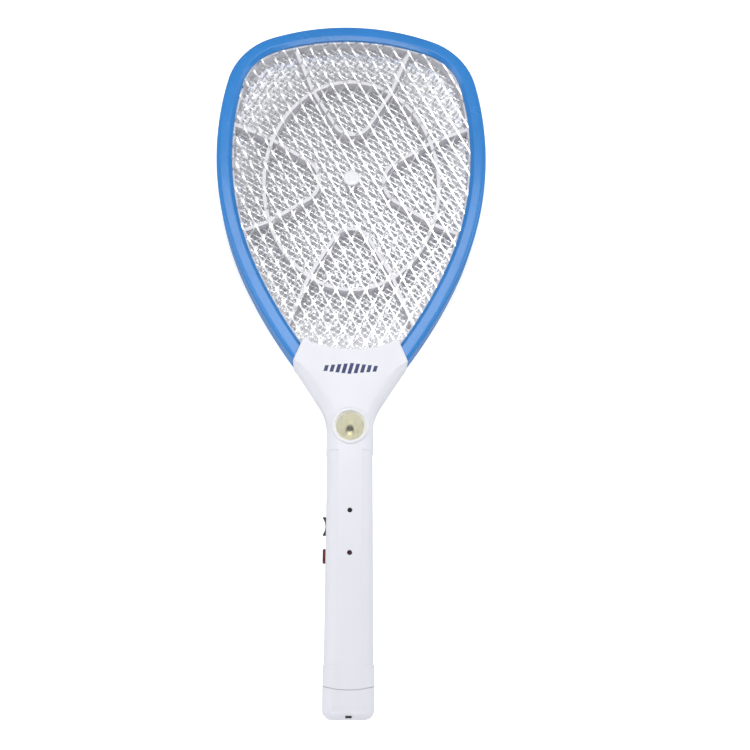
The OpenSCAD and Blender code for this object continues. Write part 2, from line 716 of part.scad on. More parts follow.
lead_r = 0.65;
module battery_leads() color([0.75, 0.10, 0.10]) front() for (x = [-7.5, 0.3])
    wire([[x, -152.3, 2], [x, -151.4, 2], [x, -149.8, 1], [x, -148, -2], [x, -147.2, -5],
        [x, -146.3, -6.8]], lead_r);
module charge_leads() color([0.10, 0.10, 0.11]) front() for (x = [-6.35, 6.35])
    wire([[x, -208.8, 0], [x, -207.4, 0.6], [x, -206, 3], [x, -203, 7], [x, -200, 8], [x, -176, 8],
        [x, -156, 8], [x * 0.75, -153.2, 7], [x * 0.5, -150, 3.5], [x * 0.4, -148, 0],
        [x * 0.35, -147.3, -4], [x * 0.35, -146.35, -7]], lead_r);
module torch_leads() color([0.85, 0.85, 0.86]) front() for (x = [-1.27, 1.27])
    wire([[x, torch_y, -3.5], [x, torch_y - 1, -5], [x, torch_y - 4, -6.2], [x, -70, -6.8],
        [x, board_top_y, -6.8]], lead_r);
module hv_lead() color([0.05, 0.05, 0.06]) front()
    wire([[12.5, 1.4, 1.6], [12.5, -2.6, 1.6], [12.5, -7, 1.5], [12.5, -11, 1.3],
        [12.5, -13.4, 1.1], [13.2, -15.4, 0.4], [16.5, -19, -1.5], [16.5, -24, -3.5],
        [15.5, -32, -6], [12, -44, -8], [8, -58, -8.5], [5, -70, -8.2], [4.6, -78, -7.2],
        [4.6, board_top_y, -6.8]], 0.9);
module guard_leads() color([0.15, 0.35, 0.18]) front() {
    wire([[-14, tab_end - 0.1, 8.1], [-14, -14.2, 9], [-14, -16, 10.3], [-14, -26, 10.3],
        [-13.5, -33, 7], [-13, -38, 1], [-12, -43, -4.5], [-9, -52, -8], [-5, -70, -8.2],
        [-4.6, -78, -7.2], [-4.6, board_top_y, -6.8]], lead_r);
    wire([[-9, tab_end - 0.1, -8.1], [-9, -14.2, -9], [-9, -16, -10.4], [-7.8, -18.5, -10.4],
        [-7.8, -27, -10.4], [-8, -36, -10.4], [-7.5, -50, -10.4], [-7, -60, -10.2], [-3.2, -70, -9.4],
        [-3, -78, -7.4], [-3, board_top_y, -6.8]], lead_r);
}

front_frame();
back_frame();
front_spider();
back_spider();
front_guard_mesh();
back_guard_mesh();
hv_mesh();
centre_rivet();
centre_rivet_cap();
centre_spacers();
mesh_contacts();
frame_screws();
front_housing();
back_housing();
housing_screws();
end_cap();
plug_base();
plug_pins();
rocker();
rocker_pin();
rocker_switch_body();
push_button();
button_spring();
button_switch();
torch_bezel();
torch_lens();
torch_reflector();
torch_led();
power_led();
charge_led();
circuit_board();
transformer_core();
transformer_winding();
hv_capacitor();
charge_capacitor();
diodes();
resistors();
transistor();
battery();
battery_terminals();
battery_leads();
charge_leads();
torch_leads();
hv_lead();
guard_leads();
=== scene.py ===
"""Electric fly swatter: the finished surfaces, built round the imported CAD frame. Metres throughout."""
import math

import bmesh
import bpy
from mathutils import Matrix, Vector


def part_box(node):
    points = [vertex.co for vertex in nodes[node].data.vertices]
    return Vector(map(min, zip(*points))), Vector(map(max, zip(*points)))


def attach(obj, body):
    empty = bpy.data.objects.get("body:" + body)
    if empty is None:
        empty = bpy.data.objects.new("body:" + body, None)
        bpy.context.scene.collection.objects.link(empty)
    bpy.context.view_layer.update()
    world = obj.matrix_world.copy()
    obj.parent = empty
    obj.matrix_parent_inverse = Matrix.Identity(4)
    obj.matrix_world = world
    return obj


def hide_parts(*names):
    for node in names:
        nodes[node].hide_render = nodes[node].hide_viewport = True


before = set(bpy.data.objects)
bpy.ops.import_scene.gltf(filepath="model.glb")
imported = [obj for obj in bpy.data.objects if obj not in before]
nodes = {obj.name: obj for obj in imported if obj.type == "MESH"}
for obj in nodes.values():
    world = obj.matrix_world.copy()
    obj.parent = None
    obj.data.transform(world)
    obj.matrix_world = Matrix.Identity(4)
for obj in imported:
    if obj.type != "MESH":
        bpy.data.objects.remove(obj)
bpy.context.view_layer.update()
MM = 0.001

# ---- Places taken from the frame ----
TOP_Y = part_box("front_frame")[1].y
END_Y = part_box("end_cap")[0].y
MID_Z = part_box("front_frame")[0].z
HALF_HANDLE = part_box("front_housing")[1].z - MID_Z
HALF_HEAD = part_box("front_frame")[1].z - MID_Z
GUARD_Z = [(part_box("front_guard_mesh")[0].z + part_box("front_guard_mesh")[1].z) / 2,
           (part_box("back_guard_mesh")[0].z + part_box("back_guard_mesh")[1].z) / 2]
RIVET = (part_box("centre_rivet")[0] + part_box("centre_rivet")[1]) / 2
TORCH = (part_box("torch_bezel")[0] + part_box("torch_bezel")[1]) / 2
ROOT, ROCKER, BUTTON, CAP = "swatter", "rocker", "push_button", "end_cap"

# ---- The head's outline: arcs that run on into each other, from the top down one side ----
ARCS = [(170 * MM, 20.3), (49 * MM, 56.3), (232 * MM, 38.7), (357 * MM, 13.5)]
RIM_W = 11 * MM
RIM_LOW = -13 * MM
NET_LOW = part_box("hv_mesh")[0].y


def direction(heading):
    """Outward direction at a heading, in degrees turned from the top of the head."""
    return Vector((math.sin(math.radians(heading)), math.cos(math.radians(heading))))


def rim_point(heading, inset):
    """The point that lies inset inside the outline at that heading."""
    centre, turned = Vector((0, TOP_Y - ARCS[0][0])), 0
    radius = ARCS[0][0]
    for i, (r, angle) in enumerate(ARCS):
        centre = centre + (radius - r) * direction(turned) if i else centre
        radius = r
        if abs(heading) <= turned + angle or i == len(ARCS) - 1:
            break
        turned += angle
    p = centre + (radius - inset) * direction(abs(heading))
    return Vector((math.copysign(p.x, heading) if heading else 0.0, p.y))


END_HEADING = sum(a for _, a in ARCS)


def outline(inset, step, last=END_HEADING):
    """Points round the head from one side of the neck over the top to the other."""
    count = math.ceil(last / step)
    return [rim_point(last * k / count, inset) for k in range(-count, count + 1)]


# ---- Mesh helpers ----
def add_piece(name, mesh, body, replaced=(), material=None):
    """Links a mesh as a piece of the object that rides on a body."""
    piece = bpy.data.objects.new(name, mesh)
    bpy.context.scene.collection.objects.link(piece)
    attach(piece, body)
    if replaced:
        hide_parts(*replaced)
    if material:
        mesh.materials.clear()
        mesh.materials.append(material)
    return piece


def mesh_from(name, points, faces):
    mesh = bpy.data.meshes.new(name)
    mesh.from_pydata([tuple(p) for p in points], [], faces)
    bm = bmesh.new()
    bm.from_mesh(mesh)
    bmesh.ops.recalc_face_normals(bm, faces=bm.faces)
    bm.to_mesh(mesh)
    bm.free()
    return mesh


def lofted(name, rings, closed_ring=True, capped=True):
    """A mesh through rings of points with the same count."""
    n = len(rings[0])
    around = n if closed_ring else n - 1
    faces = [(k * n + i, k * n + (i + 1) % n, (k + 1) * n + (i + 1) % n, (k + 1) * n + i)
             for k in range(len(rings) - 1) for i in range(around)]
    if capped:
        faces += [tuple(range(n)), tuple((len(rings) - 1) * n + i for i in range(n))]
    return mesh_from(name, [p for r in rings for p in r], faces)


def lathed(name, profile, centre, steps=96):
    """A solid turned about Z from a closed profile of (radius, height) pairs."""
    rings = []
    for k in range(steps):
        a = 2 * math.pi * k / steps
        rings.append([(centre.x + r * math.cos(a), centre.y + r * math.sin(a), z) for r, z in profile])
    n = len(profile)
    faces = [(k * n + i, k * n + (i + 1) % n, (k + 1) % steps * n + (i + 1) % n, (k + 1) % steps * n + i)
             for k in range(steps) for i in range(n)]
    mesh = mesh_from(name, [p for r in rings for p in r], faces)
    bm = bmesh.new()
    bm.from_mesh(mesh)
    bmesh.ops.remove_doubles(bm, verts=bm.verts, dist=1e-7)
    bmesh.ops.recalc_face_normals(bm, faces=bm.faces)
    bm.to_mesh(mesh)
    bm.free()
    return mesh


def apply_modifiers(piece):
    """Keeps the piece's evaluated mesh and drops its modifiers."""
    bpy.context.view_layer.update()
    done = bpy.data.meshes.new_from_object(piece.evaluated_get(bpy.context.evaluated_depsgraph_get()))
    piece.modifiers.clear()
    piece.data = done


def shade(piece, angle=35):
    """Smooth shading that breaks at edges sharper than angle."""
    bm = bmesh.new()
    bm.from_mesh(piece.data)
    for face in bm.faces:
        face.smooth = True
    for edge in bm.edges:
        edge.smooth = len(edge.link_faces) == 2 and edge.calc_face_angle(0) < math.radians(angle)
    bm.to_mesh(piece.data)
    bm.free()


def soften(piece, width, segments=2, angle=35):
    """Rounds the sharp edges by width and evens out the shading."""
    bevel = piece.modifiers.new("edges", "BEVEL")
    bevel.width = width
    bevel.segments = segments
    bevel.limit_method = "ANGLE"
    bevel.angle_limit = math.radians(angle)
    bevel.use_clamp_overlap = True
    apply_modifiers(piece)
    shade(piece, 50)
    normals = piece.modifiers.new("normals", "WEIGHTED_NORMAL")
    normals.keep_sharp = True


def from_node(node, body, material, width=0.0, segments=2, angle=35):
    """A finer copy of a CAD node: welded, flat faces joined, edges rounded."""
    mesh = nodes[node].data.copy()
    bm = bmesh.new()
    bm.from_mesh(mesh)
    bmesh.ops.remove_doubles(bm, verts=bm.verts, dist=2e-6)
    bmesh.ops.dissolve_limit(bm, angle_limit=math.radians(0.6), verts=bm.verts, edges=bm.edges)
    bm.to_mesh(mesh)
    bm.free()
    piece = add_piece("fine_" + node, mesh, body, [node], material)
    if width:
        soften(piece, width, segments, angle)
    else:
        shade(piece)
    return piece


def cut(piece, points, faces, folds=False):
    """Takes a closed form away from the piece; folds is set while the piece still meets itself."""
    tool = bpy.data.objects.new("tool", mesh_from("tool", points, faces))
    bpy.context.scene.collection.objects.link(tool)
    boolean = piece.modifiers.new("cut", "BOOLEAN")
    boolean.operation = "DIFFERENCE"
    boolean.solver = "EXACT"
    boolean.use_self = folds
    boolean.object = tool
    apply_modifiers(piece)
    bpy.data.objects.remove(tool)


def prism(points, low, high):
    """Corner points and faces of a flat outline raised between two heights."""
    n = len(points)
    corners = [(p[0], p[1], low) for p in points] + [(p[0], p[1], high) for p in points]
    faces = [tuple(range(n)), tuple(range(n, 2 * n))]
    faces += [(i, (i + 1) % n, n + (i + 1) % n, n + i) for i in range(n)]
    return corners, faces


def circle_points(x, y, r, steps=64):
    return [(x + r * math.cos(2 * math.pi * k / steps), y + r * math.sin(2 * math.pi * k / steps))
            for k in range(steps)]


def rectangle(x0, y0, x1, y1):
    return [(x0, y0), (x1, y0), (x1, y1), (x0, y1)]


# ---- Materials ----
def new_material(name, colour, roughness, metallic=0.0):
    m = bpy.data.materials.new(name)
    m.use_nodes = True
    shader = m.node_tree.nodes["Principled BSDF"]
    shader.inputs["Base Color"].default_value = (*colour, 1)
    shader.inputs["Roughness"].default_value = roughness
    shader.inputs["Metallic"].default_value = metallic
    m.diffuse_color = (*colour, 1)
    return m, m.node_tree, shader


def noise_of(tree, scale, detail=4.0, stretch=(1, 1, 1)):
    """A noise texture in the object's own coordinates."""
    place = tree.nodes.new("ShaderNodeTexCoord")
    mapping = tree.nodes.new("ShaderNodeMapping")
    mapping.inputs["Scale"].default_value = stretch
    texture = tree.nodes.new("ShaderNodeTexNoise")
    texture.inputs["Scale"].default_value = scale
    texture.inputs["Detail"].default_value = detail
    tree.links.new(place.outputs["Object"], mapping.inputs["Vector"])
    tree.links.new(mapping.outputs["Vector"], texture.inputs["Vector"])
    return texture


def tint(tree, shader, colour, other, texture, low=0.35, high=0.65):
    """Blends two colours over the surface by a texture."""
    ramp = tree.nodes.new("ShaderNodeValToRGB")
    ramp.color_ramp.elements[0].position = low
    ramp.color_ramp.elements[0].color = (*colour, 1)
    ramp.color_ramp.elements[1].position = high
    ramp.color_ramp.elements[1].color = (*other, 1)
    tree.links.new(texture.outputs["Fac"], ramp.inputs["Fac"])
    tree.links.new(ramp.outputs["Color"], shader.inputs["Base Color"])


def vary_roughness(tree, shader, texture, low, high):
    spread = tree.nodes.new("ShaderNodeMapRange")
    spread.inputs["From Min"].default_value = 0.3
    spread.inputs["From Max"].default_value = 0.7
    spread.inputs["To Min"].default_value = low
    spread.inputs["To Max"].default_value = high
    tree.links.new(texture.outputs["Fac"], spread.inputs["Value"])
    tree.links.new(spread.outputs["Result"], shader.inputs["Roughness"])


def bump(tree, shader, texture, strength, depth):
    node = tree.nodes.new("ShaderNodeBump")
    node.inputs["Strength"].default_value = strength
    node.inputs["Distance"].default_value = depth
    tree.links.new(texture.outputs["Fac"], node.inputs["Height"])
    tree.links.new(node.outputs["Normal"], shader.inputs["Normal"])


def plastic(name, colour, roughness, spread=0.04, grain=900.0, depth=0.00002, shade_to=0.94, coat=0.0):
    """Moulded plastic: slight flow marks, uneven gloss and a fine surface grain."""
    m, tree, shader = new_material(name, colour, roughness)
    tint(tree, shader, colour, [c * shade_to for c in colour], noise_of(tree, 22, 3, (1, 0.35, 1)))
    vary_roughness(tree, shader, noise_of(tree, 70, 5), roughness - spread, roughness + spread)
    bump(tree, shader, noise_of(tree, grain, 2), 0.25, depth)
    if coat:
        shader.inputs["Coat Weight"].default_value = coat
        shader.inputs["Coat Roughness"].default_value = 0.08
    return m


def metal(name, colour, roughness, stretch=(1, 1, 1), scale=300.0, shade_to=0.82):
    """Bare metal with drawing or rolling marks."""
    m, tree, shader = new_material(name, colour, roughness, 1.0)
    tint(tree, shader, colour, [c * shade_to for c in colour], noise_of(tree, 60, 4))
    texture = noise_of(tree, scale, 4, stretch)
    vary_roughness(tree, shader, texture, roughness - 0.08, roughness + 0.1)
    bump(tree, shader, texture, 0.2, 0.00002)
    return m


def clear(name, colour, roughness=0.03, ior=1.49):
    m, tree, shader = new_material(name, colour, roughness)
    shader.inputs["Transmission Weight"].default_value = 1.0
    shader.inputs["IOR"].default_value = ior
    vary_roughness(tree, shader, noise_of(tree, 120, 3), roughness * 0.5, roughness * 1.8)
    return m


BLUE = plastic("blue_abs", (0.026, 0.232, 0.64), 0.24, 0.04, 700, 0.00001, 0.90, coat=0.2)
WHITE = plastic("white_abs", (0.80, 0.80, 0.845), 0.36, 0.05, 1500, 0.000012, 0.965)
NET_WHITE = plastic("net_white", (0.80, 0.79, 0.82), 0.45, 0.06, 900, 0.00002, 0.94)
RIVET_WHITE = plastic("rivet_white", (0.86, 0.86, 0.88), 0.30, 0.04, 800, 0.00001, 0.96)
INNER_WHITE = plastic("inner_white", (0.74, 0.74, 0.75), 0.5)
BLACK = plastic("black_plastic", (0.012, 0.012, 0.014), 0.35, 0.06, 900, 0.00002, 0.7)
SWITCH = plastic("switch_black", (0.02, 0.02, 0.022), 0.55, 0.08, 700, 0.00003, 0.7)
RED = plastic("button_red", (0.13, 0.008, 0.014), 0.28, 0.05, 800, 0.00001, 0.75)
PRINT = plastic("blue_print", (0.015, 0.03, 0.14), 0.42, 0.05, 1200, 0.000006, 0.85)
# Painted shade: the colour of the block that stands for the shade inside the end cap's slot
PAINTED_SLOT_SHADE = plastic("painted_slot_shade", (0.02, 0.02, 0.022), 0.6)
BOARD = plastic("board_green", (0.03, 0.14, 0.05), 0.35, 0.08, 500, 0.00003, 0.7)
FERRITE = plastic("ferrite", (0.03, 0.03, 0.032), 0.6, 0.08, 400, 0.00004, 0.7)
EPOXY = plastic("epoxy_brown", (0.19, 0.03, 0.012), 0.3, 0.06, 500, 0.00002, 0.75)
BATTERY = plastic("battery_case", (0.05, 0.06, 0.09), 0.4, 0.06, 700, 0.00002, 0.8)
GUARD_METAL = metal("guard_aluminium", (0.93, 0.93, 0.94), 0.30, (1, 1, 1), 500, 0.90)
FINE_METAL = metal("fine_aluminium", (0.84, 0.84, 0.86), 0.36, (1, 1, 1), 700, 0.86)
STEEL = metal("screw_steel", (0.62, 0.62, 0.64), 0.32, (1, 1, 6), 400)
BRASS = metal("brass", (0.72, 0.52, 0.22), 0.28)
COPPER = metal("enamelled_copper", (0.60, 0.25, 0.10), 0.32, (6, 1, 1), 500)
MIRROR = metal("reflector_metal", (0.96, 0.94, 0.80), 0.22, (1, 1, 1), 200, 0.95)
MIRROR.node_tree.nodes["Principled BSDF"].inputs["Metallic"].default_value = 0.2
LENS = clear("clear_lens", (0.97, 0.98, 1.0))
LENS.node_tree.nodes["Principled BSDF"].inputs["Alpha"].default_value = 0.3
RESIN = clear("led_resin", (0.97, 0.90, 0.55), 0.08)
WIRE = {c: plastic("wire_" + c, rgb, 0.45, 0.08, 600, 0.00003, 0.8) for c, rgb in {
    "red": (0.45, 0.02, 0.02), "black": (0.01, 0.01, 0.012), "green": (0.03, 0.12, 0.05),
    "white": (0.72, 0.72, 0.73)}.items()}
DARK_RESIN = plastic("indicator_dark", (0.006, 0.003, 0.004), 0.6, 0.05, 900, 0.00001, 0.7)
RED_RESIN = plastic("indicator_red", (0.04, 0.002, 0.006), 0.6, 0.05, 900, 0.00001, 0.7)

# ---- Camera: above the handle's end and a little to the left ----
camera_data = bpy.data.cameras.new("camera")
camera_data.sensor_width = 36
camera_data.lens = 57.6
camera = bpy.data.objects.new("camera", camera_data)
bpy.context.scene.collection.objects.link(camera)
eye = Vector((-0.01885, -0.2525, 0.7974))
aim = Vector((0.01694, -0.01873, MID_Z))
back = (eye - aim).normalized()
right = Vector((0, 1, 0)).cross(back).normalized()
up = back.cross(right)
camera.matrix_world = Matrix(((right.x, up.x, back.x, eye.x), (right.y, up.y, back.y, eye.y),
                              (right.z, up.z, back.z, eye.z), (0, 0, 0, 1)))
camera_data.clip_start = 0.01
bpy.context.scene.camera = camera


# ---- Blue frame ----
def rim_rings(side):
    """Cross-sections of half the frame; side is 1 for the front and -1 for the back."""
    r, bevel, wall, flange = 3 * MM, 2.5 * MM, 2 * MM, 8.4 * MM
    flange_inset = 4 * MM
    section = [(wall, 0), (0.35 * MM, 0), (0.1 * MM, 0.15 * MM), (0, 0.4 * MM)]
    section += [(r * (1 - math.cos(a)), HALF_HEAD - r * (1 - math.sin(a)))
                for a in (math.radians(15 * k) for k in range(7))]
    section += [(r + (RIM_W - bevel - r) * t, HALF_HEAD) for t in (0.35, 0.65, 0.93)]
    section += [(RIM_W - bevel + 0.15 * MM, HALF_HEAD - 0.1 * MM), (RIM_W - 0.3 * MM, HALF_HEAD - 1.9 * MM),
                (RIM_W - 0.05 * MM, HALF_HEAD - 2.2 * MM), (RIM_W, HALF_HEAD - 2.5 * MM),
                (RIM_W, flange), (flange_inset, flange), (flange_inset, HALF_HEAD - wall),
                (wall, HALF_HEAD - wall)]
    last = END_HEADING
    while rim_point(last, 0).y < RIM_LOW:
        last -= 0.2
    count = 150
    rings = []
    for k in range(-count, count + 1):
        heading = last * k / count
        rings.append([(*rim_point(heading, inset), MID_Z + side * w) for inset, w in section])
    return rings


for side, node in ((1, "front_frame"), (-1, "back_frame")):
    rim = add_piece("rim_" + node, lofted("rim", rim_rings(side)), ROOT, [node], BLUE)
    shade(rim, 28)


# ---- White shells of the neck and handle ----
GRIP_TOP, GRIP_END = 15.6 * MM, 16.4 * MM
FILLET_Y, FILLET_R = -59.3 * MM, 34 * MM
PANEL = (-211.2 * MM, -74.5 * MM)
PANEL_DEPTH = 0.6 * MM
NECK_R, NECK_Y = 75.5 * MM, 71.5 * MM
FLANK = math.radians(33)
FLANK_TOP = Vector((38.5, -13.8)) * MM
CORNER_R = 3 * MM
CORNERS = [(Vector((35.7, -12.4)) * MM, -24, 12), (Vector((30.3, 0.6)) * MM, 22, 102)]
EDGE_R = 8 * MM
JOINT_R, JOINT_Y = 56 * MM, -227 * MM
SHELL_WALL = 2 * MM
GUARD_TOP = 8.4 * MM


def grip_x(y):
    return GRIP_TOP + (GRIP_END - GRIP_TOP) * (FILLET_Y - y) / (FILLET_Y + 225 * MM)


def shell_side():
    """One side's outline from the cap's end up to the neck's edge: place, outward direction, the share
    of the edge rounding, whether the side panel is sunk there, and the lowest height of the wall."""
    corner = 6.3 * MM
    side = [(Vector((x * MM, END_Y)), Vector((0, -1)), 0.7, 0, 0) for x in (0, 3.5, 7, 9)]
    for k in range(1, 13):
        a = math.radians(7.5 * k)
        side.append((Vector((GRIP_END - corner * (1 - math.sin(a)), END_Y + corner * (1 - math.cos(a)))),
                     Vector((math.sin(a), -math.cos(a))), 0.7 + 0.3 * k / 12, 0, 0))
    stations = [JOINT_Y, -219 * MM, PANEL[0] - 0.5 * MM, PANEL[0]]
    stations += [PANEL[0] + (PANEL[1] - PANEL[0]) * k / 12 for k in range(1, 13)]
    stations += [PANEL[1] + 0.5 * MM, -68 * MM]
    for y in stations:
        sunk = 1 if PANEL[0] <= y <= PANEL[1] + 1e-9 else 0
        side.append((Vector((grip_x(y), y)), Vector((1, 0)), 1, sunk, 0))
    for k in range(13):
        a = FLANK * k / 12
        side.append((Vector((GRIP_TOP + FILLET_R * (1 - math.cos(a)), FILLET_Y + FILLET_R * math.sin(a))),
                     Vector((math.cos(a), -math.sin(a))), 1 - 0.25 * k / 12, 0, 0))
    for s, share in ((20, 0.72), (14, 0.68), (9, 0.6), (6, 0.5), (3.6, 0.36), (2, 0.25), (0.8, 0.15)):
        side.append((FLANK_TOP - s * MM * Vector((math.sin(FLANK), math.cos(FLANK))),
                     Vector((math.cos(FLANK), -math.sin(FLANK))), share, 0, 0))
    for centre, start, stop in CORNERS:
        for k in range(9):
            a = math.radians(start + (stop - start) * k / 8)
            d = Vector((math.cos(a), math.sin(a)))
            low = 0 if centre is CORNERS[0][0] and k < 5 else HALF_HEAD
            side.append((centre + CORNER_R * d, d, 0.1, 0, low))
    for k in range(14, -1, -1):
        a = math.radians(21 * k / 14)
        side.append((Vector((NECK_R * math.sin(a), NECK_Y - NECK_R * math.cos(a))),
                     Vector((-math.sin(a), math.cos(a))), 0.1, 0, GUARD_TOP))
    return side


def shell_rings(inset, steps=9):
    """Rings from the parting plane up, for the outer surface or one that lies inset inside it."""
    r = EDGE_R - inset
    levels = [(0, 0, 0, 1), (HALF_HANDLE - EDGE_R, 0, 0, 1)]
    for k in range(1, steps):
        a = math.radians(90 * k / steps)
        levels.append((HALF_HANDLE - EDGE_R + r * math.sin(a), r * (1 - math.cos(a)),
                       math.sin(a), math.cos(a)))
    levels += [(HALF_HANDLE - EDGE_R + r, r * t, 0, 0) for t in (1.0, 1.35)]
    side, rings = shell_side(), []
    for height, inward, lift, across in levels:
        one = []
        for place, out, share, sunk, low in side:
            depth = inset + share * inward + sunk * PANEL_DEPTH * across
            p = place - depth * out
            w = max(height - sunk * PANEL_DEPTH * lift, min(low, HALF_HANDLE - inset))
            one.append(Vector((max(p.x, 0), p.y, w)))
        rings.append(one)
    return rings


def full_ring(one, side):
    """The whole ring from one side's points, in the row frame."""
    other = [Vector((-p.x, p.y, p.z)) for p in reversed(one[1:-1])]
    return [(p.x, p.y, MID_Z + side * p.z) for p in one + other]


def shell_mesh(name, side, hollow=True):
    outer = [full_ring(r, side) for r in shell_rings(0)]
    rings = outer[::-1]
    if hollow:
        rings = rings + [full_ring(r, side) for r in shell_rings(SHELL_WALL)]
    return lofted(name, rings)


def joint_region(gap, below):
    """The outline of what lies past the curved joint, or short of it."""
    arc = []
    for k in range(-16, 17):
        x = 20 * MM * k / 16
        arc.append((x, JOINT_Y + gap + JOINT_R - math.sqrt(JOINT_R ** 2 - x ** 2)))
    far = END_Y - 10 * MM if below else 40 * MM
    wide = 20 * MM if below else 60 * MM
    return [(-wide, far)] + ([(-wide, arc[0][1])] if not below else []) + arc + (
        [(wide, arc[-1][1])] if not below else []) + [(wide, far)]


SCREWS = [(0, -36), (-9.6, -71.8), (9.6, -71.8), (9.6, -149.6), (0, -203.2)]
SCREW_HOLE_R = 2.1 * MM
TORCH_HOLE_R = 12.25 * MM
LED_HOLE_R = 1.6 * MM
# Heights under and over the whole object, for forms that cut right through it
BELOW, ABOVE = -0.01, 0.08
BUTTON_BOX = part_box("push_button")
ROCKER_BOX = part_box("rocker")


def notch(box, room):
    """The opening in the left wall that a switch's cap passes through."""
    return rectangle(box[0].x - 5 * MM, box[0].y - room, -11 * MM, box[1].y + room)


for side, node in ((1, "front_housing"), (-1, "back_housing")):
    shell = add_piece("shell_" + node, shell_mesh("shell", side), ROOT, [node], WHITE)
    cut(shell, *prism(joint_region(0.0, True), BELOW, ABOVE), folds=True)
    cut(shell, *prism(notch(ROCKER_BOX, 0.9 * MM), MID_Z - 3.6 * MM, MID_Z + 3.6 * MM))
    cut(shell, *prism(notch(BUTTON_BOX, -0.5 * MM), MID_Z - 3.2 * MM, MID_Z + 3.2 * MM))
    if side == 1:
        cut(shell, *prism(circle_points(TORCH.x, TORCH.y, TORCH_HOLE_R, 96), MID_Z + 5 * MM, ABOVE))
        for led in ("power_led", "charge_led"):
            low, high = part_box(led)
            middle = (low.y + high.y) / 2
            cut(shell, *prism(circle_points(0, middle, LED_HOLE_R, 32), MID_Z + 9 * MM, ABOVE))
    else:
        for x, y in SCREWS:
            cut(shell, *prism(circle_points(x * MM, y * MM, SCREW_HOLE_R, 40), BELOW, MID_Z - 9 * MM))
    shade(shell, 24)

# The end cap closes both halves over the charging plug
cap_rings = [full_ring(r, 1) for r in shell_rings(0)]
cap_mesh = lofted("cap", cap_rings[::-1] + [full_ring(r, -1) for r in shell_rings(0)][1:])
cap = add_piece("cap_shell", cap_mesh, CAP, ["end_cap"], WHITE)
cut(cap, *prism(joint_region(-0.25 * MM, False), BELOW, ABOVE), folds=True)
pocket = []
for cx, cz, start in ((10, 8, 0), (-10, 8, 90), (-10, -8, 180), (10, -8, 270)):
    for k in range(9):
        a = math.radians(start + 11.25 * k)
        pocket.append((cx * MM + 4 * MM * math.cos(a), cz * MM + 4 * MM * math.sin(a)))
pocket_points, pocket_faces = prism(pocket, END_Y + 3 * MM, -200 * MM)
cut(cap, [(x, depth, MID_Z + z) for x, z, depth in pocket_points], pocket_faces)
cut(cap, *prism(rectangle(-2 * MM, END_Y + 1 * MM, 2 * MM, END_Y + 2.5 * MM), MID_Z + 7 * MM, ABOVE))
shade(cap, 24)

# ---- Net supports ----
for node in ("front_spider", "back_spider"):
    from_node(node, ROOT, NET_WHITE, 0.3 * MM, 2, 40)


# ---- Expanded-metal sheets ----
SHEET_INSET = 9.4 * MM


def clipped(point, along, region):
    """Where a line through point enters and leaves a convex region, as distances along it."""
    low, high = -1.0, 1.0
    for a, b in zip(region, region[1:] + region[:1]):
        normal = Vector((a.y - b.y, b.x - a.x))
        rate, room = normal.dot(along), normal.dot(point - a)
        if abs(rate) < 1e-12:
            if room < 0:
                return None
        elif rate > 0:
            low = max(low, -room / rate)
        else:
            high = min(high, -room / rate)
    return (low, high) if high > low else None


def expanded_sheet(name, dx, dy, strand, thickness, height, turn, samples, tilt, wave):
    """Strands run both ways, thicken at each bond and are twisted a little, as stretching leaves them."""
    around = outline(SHEET_INSET, 3)
    first = max(1, next(k for k, p in enumerate(around) if p.y > NET_LOW))
    a, b = around[first - 1], around[first]
    foot_x = a.x + (b.x - a.x) * (NET_LOW - a.y) / (b.y - a.y)
    region = [Vector((foot_x, NET_LOW))] + [p for p in around if p.y > NET_LOW]
    region.append(Vector((-foot_x, NET_LOW)))
    area = sum(a.x * b.y - b.x * a.y for a, b in zip(region, region[1:] + region[:1]))
    if area < 0:
        region.reverse()
    points, faces = [], []
    cos_turn, sin_turn = math.cos(turn), math.sin(turn)
    reach = math.ceil(0.26 / dx + 0.36 / dy)
    cell = math.hypot(dx, dy) / 2
    for family in (1, -1):
        flat = Vector((dx / 2, -family * dy / 2)) / cell
        along = Vector((flat.x * cos_turn - flat.y * sin_turn, flat.x * sin_turn + flat.y * cos_turn))
        across = Vector((-along.y, along.x))
        for m in range(-reach, reach + 1):
            start = Vector(((2 * m + 1) * dx / 2, 0))
            at = Vector((start.x * cos_turn - start.y * sin_turn, start.x * sin_turn + start.y * cos_turn))
            at += Vector((RIVET.x, RIVET.y))
            span = clipped(at, along, region)
            if span is None:
                continue
            stops = [span[0]]
            k = math.ceil(span[0] / (cell / samples))
            while k * cell / samples < span[1]:
                stops.append(k * cell / samples)
                k += 1
            stops.append(span[1])
            base = len(points)
            for s in stops:
                bond = 0.5 + 0.5 * math.cos(2 * math.pi * s / cell)
                half_w = strand / 2 * (1 + 0.45 * bond ** 3)
                lean = family * tilt * (1 - 0.6 * bond)
                lift = wave * math.cos(2 * math.pi * s / cell) * family
                centre = at + along * s
                for u, v in ((1, -1), (1, 1), (-1, 1), (-1, -1)):
                    side_way = u * half_w * math.cos(lean) - v * thickness / 2 * math.sin(lean)
                    rise = u * half_w * math.sin(lean) + v * thickness / 2 * math.cos(lean)
                    q = centre + across * side_way
                    points.append((q.x, q.y, height + lift + rise))
            for i in range(len(stops) - 1):
                for c in range(4):
                    faces.append((base + 4 * i + c, base + 4 * i + (c + 1) % 4,
                                  base + 4 * i + 4 + (c + 1) % 4, base + 4 * i + 4 + c))
            faces.append((base, base + 1, base + 2, base + 3))
            end = base + 4 * (len(stops) - 1)
            faces.append((end + 3, end + 2, end + 1, end))
    return mesh_from(name, points, faces)


